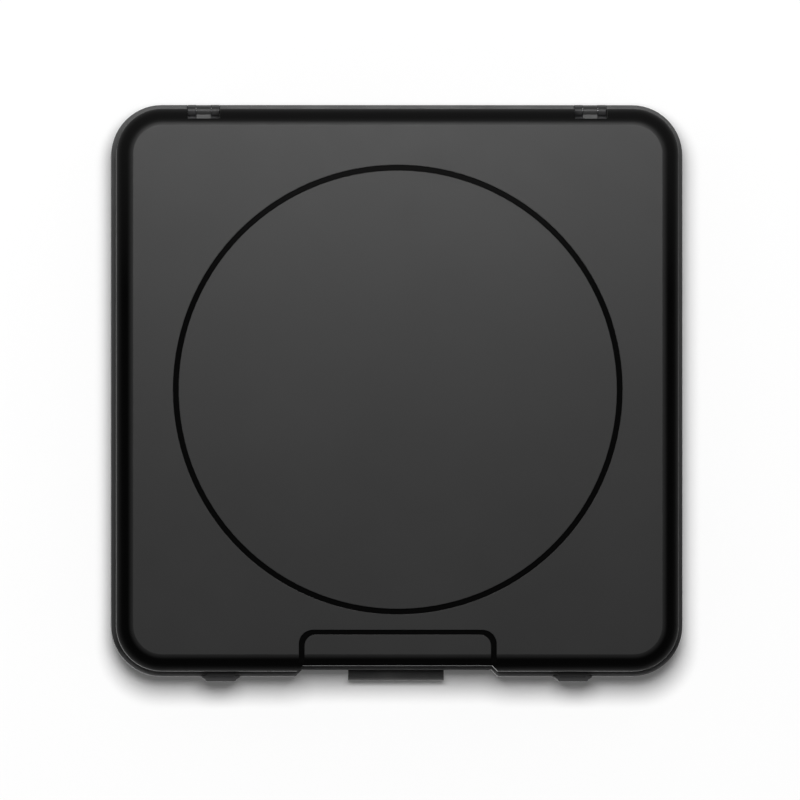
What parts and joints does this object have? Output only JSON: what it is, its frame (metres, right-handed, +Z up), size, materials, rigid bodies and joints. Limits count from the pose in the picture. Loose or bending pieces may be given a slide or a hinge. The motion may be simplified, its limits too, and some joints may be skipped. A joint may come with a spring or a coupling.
{
  "type": "portable turntable",
  "caption": "Square portable turntable, shown shut: hinged lid with a round groove, front latches and carry handle; platter, tonearm and controls lie under the lid.",
  "frame": {"origin": "on the table under the middle of the case", "axes": "+X to the right seen from the handle's side, +Y to the hinges at the rear, +Z up"},
  "size_m": [0.305, 0.3078, 0.102],
  "materials": {
    "case_plastic": "satin moulded plastic",
    "deck_plastic": "fine-grained moulded plastic",
    "trim_plastic": "satin moulded plastic",
    "black_plastic": "semi-gloss moulded plastic",
    "rubber": "matt rubber",
    "steel": "zinc-plated steel",
    "alloy": "satin aluminium",
    "brass": "turned brass",
    "circuit_board": "green lacquered board",
    "cone_paper": "dark pressed paper",
    "red_plastic": "red translucent plastic"
  },
  "bodies": {
    "base": {"base_shell": "case_plastic", "battery_tray": "case_plastic", "deck_tray": "deck_plastic", "arm_base": "deck_plastic", "arm_rest": "deck_plastic", "fader_plate": "deck_plastic", "hinge_brackets": "trim_plastic", "thrust_cup": "trim_plastic", "board_parts": "black_plastic", "line_out_block": "black_plastic", "power_socket": "black_plastic", "phone_socket": "black_plastic", "rubber_feet": "rubber", "motor_grommets": "rubber", "drive_belt": "rubber", "case_screws": "steel", "inner_screws": "steel", "hinge_pins": "steel", "latch_pins": "steel", "drive_motor": "steel", "speaker_frame": "steel", "control_pots": "steel", "switch_bodies": "steel", "usb_socket": "steel", "line_out_sleeves": "alloy", "battery_contacts": "alloy", "spindle_bush": "brass", "main_board": "circuit_board", "speaker_cone": "cone_paper", "power_lamp": "red_plastic"},
    "lid": {"lid_shell": "case_plastic"},
    "left_latch": {"latch_left": "trim_plastic"},
    "right_latch": {"latch_right": "trim_plastic"},
    "handle": {"carry_handle": "case_plastic", "handle_grip": "rubber"},
    "platter_body": {"platter": "alloy", "platter_mat": "rubber", "platter_spindle": "steel"},
    "motor_rotor": {"motor_shaft": "steel", "motor_pulley": "brass"},
    "arm_swivel": {"arm_yoke": "alloy", "arm_pin": "steel"},
    "arm": {"arm_tube": "alloy", "counterweight": "steel", "headshell": "trim_plastic", "cartridge": "black_plastic", "stylus": "red_plastic"},
    "clip": {"arm_clip": "black_plastic"},
    "lift": {"cue_lift": "black_plastic"},
    "lever": {"cue_lever": "alloy"},
    "volume": {"volume_knob": "black_plastic"},
    "tone": {"tone_knob": "black_plastic"},
    "pitch": {"pitch_knob": "black_plastic"},
    "power": {"power_button": "trim_plastic"},
    "speed": {"speed_slider": "trim_plastic"},
    "autostop": {"autostop_slider": "trim_plastic"},
    "fader": {"fader_cap": "black_plastic"},
    "adapter": {"adapter_45": "trim_plastic"},
    "bay_door": {"battery_door": "case_plastic"}
  },
  "joints": [
    {"name": "lid_hinge", "type": "hinge", "parent": "base", "child": "lid", "pos_m": [0, 0.1495, 0.068], "axis": [-1, 0, 0], "range_deg": [0, 100]},
    {"name": "left_latch_flip", "type": "hinge", "parent": "base", "child": "left_latch", "pos_m": [-0.094, -0.1505, 0.044], "axis": [1, 0, 0], "range_deg": [0, 75]},
    {"name": "right_latch_flip", "type": "hinge", "parent": "base", "child": "right_latch", "pos_m": [0.094, -0.1505, 0.044], "axis": [1, 0, 0], "range_deg": [0, 75]},
    {"name": "handle_swing", "type": "hinge", "parent": "base", "child": "handle", "pos_m": [0, -0.143, 0.05], "axis": [-1, 0, 0], "range_deg": [0, 110]},
    {"name": "platter_spin", "type": "hinge", "parent": "base", "child": "platter_body", "pos_m": [-0.036, -0.008, 0.054], "axis": [0, 0, -1], "continuous": true},
    {"name": "pulley_spin", "type": "hinge", "parent": "base", "child": "motor_rotor", "pos_m": [0.02845, -0.04827, 0.055], "axis": [0, 0, -1], "continuous": true},
    {"name": "arm_swing", "type": "hinge", "parent": "base", "child": "arm_swivel", "pos_m": [0.114, 0.1, 0.066], "axis": [0, 0, -1], "range_deg": [0, 38]},
    {"name": "arm_lift", "type": "hinge", "parent": "arm_swivel", "child": "arm", "pos_m": [0.114, 0.1, 0.079], "axis": [-1, 0, 0], "range_deg": [0, 4.5]},
    {"name": "cue_lever_turn", "type": "hinge", "parent": "base", "child": "lever", "pos_m": [0.136, 0.078, 0.061], "axis": [-1, 0, 0], "range_deg": [0, 45]},
    {"name": "cue_lift_slide", "type": "slide", "parent": "base", "child": "lift", "axis": [0, 0, 1], "range_m": [0, 0.00236]},
    {"name": "arm_clip_turn", "type": "hinge", "parent": "base", "child": "clip", "pos_m": [0.1213, -0.03, 0.08403], "axis": [0, -1, 0], "range_deg": [0, 90]},
    {"name": "volume_turn", "type": "hinge", "parent": "base", "child": "volume", "pos_m": [-0.072, -0.119, 0.055], "axis": [0, 0, -1], "range_deg": [-140, 140]},
    {"name": "tone_turn", "type": "hinge", "parent": "base", "child": "tone", "pos_m": [-0.046, -0.119, 0.055], "axis": [0, 0, -1], "range_deg": [-140, 140]},
    {"name": "pitch_turn", "type": "hinge", "parent": "base", "child": "pitch", "pos_m": [0.051, -0.119, 0.055], "axis": [0, 0, -1], "range_deg": [-140, 140]},
    {"name": "power_press", "type": "slide", "parent": "base", "child": "power", "axis": [0, 0, -1], "range_m": [0, 0.002], "stiffness_N_per_m": 400},
    {"name": "speed_slide", "type": "slide", "parent": "base", "child": "speed", "axis": [1, 0, 0], "range_m": [-0.006, 0.006]},
    {"name": "autostop_slide", "type": "slide", "parent": "base", "child": "autostop", "axis": [1, 0, 0], "range_m": [-0.003, 0.003]},
    {"name": "fader_slide", "type": "slide", "parent": "base", "child": "fader", "axis": [1, 0, 0], "range_m": [-0.012, 0.012]},
    {"name": "adapter_lift", "type": "slide", "parent": "base", "child": "adapter", "axis": [0, 0, 1], "range_m": [0, 0.02]},
    {"name": "door_release", "type": "slide", "parent": "base", "child": "bay_door", "axis": [0, 0, -1], "range_m": [0, 0.04]}
  ],
  "couplings": [
    {"joint": "pulley_spin", "follows": "platter_spin", "ratio": 11.536},
    {"joint": "cue_lever_turn", "follows": "arm_lift", "ratio": 10},
    {"joint": "cue_lift_slide", "follows": "arm_lift", "m_per_rad": 0.03}
  ]
}
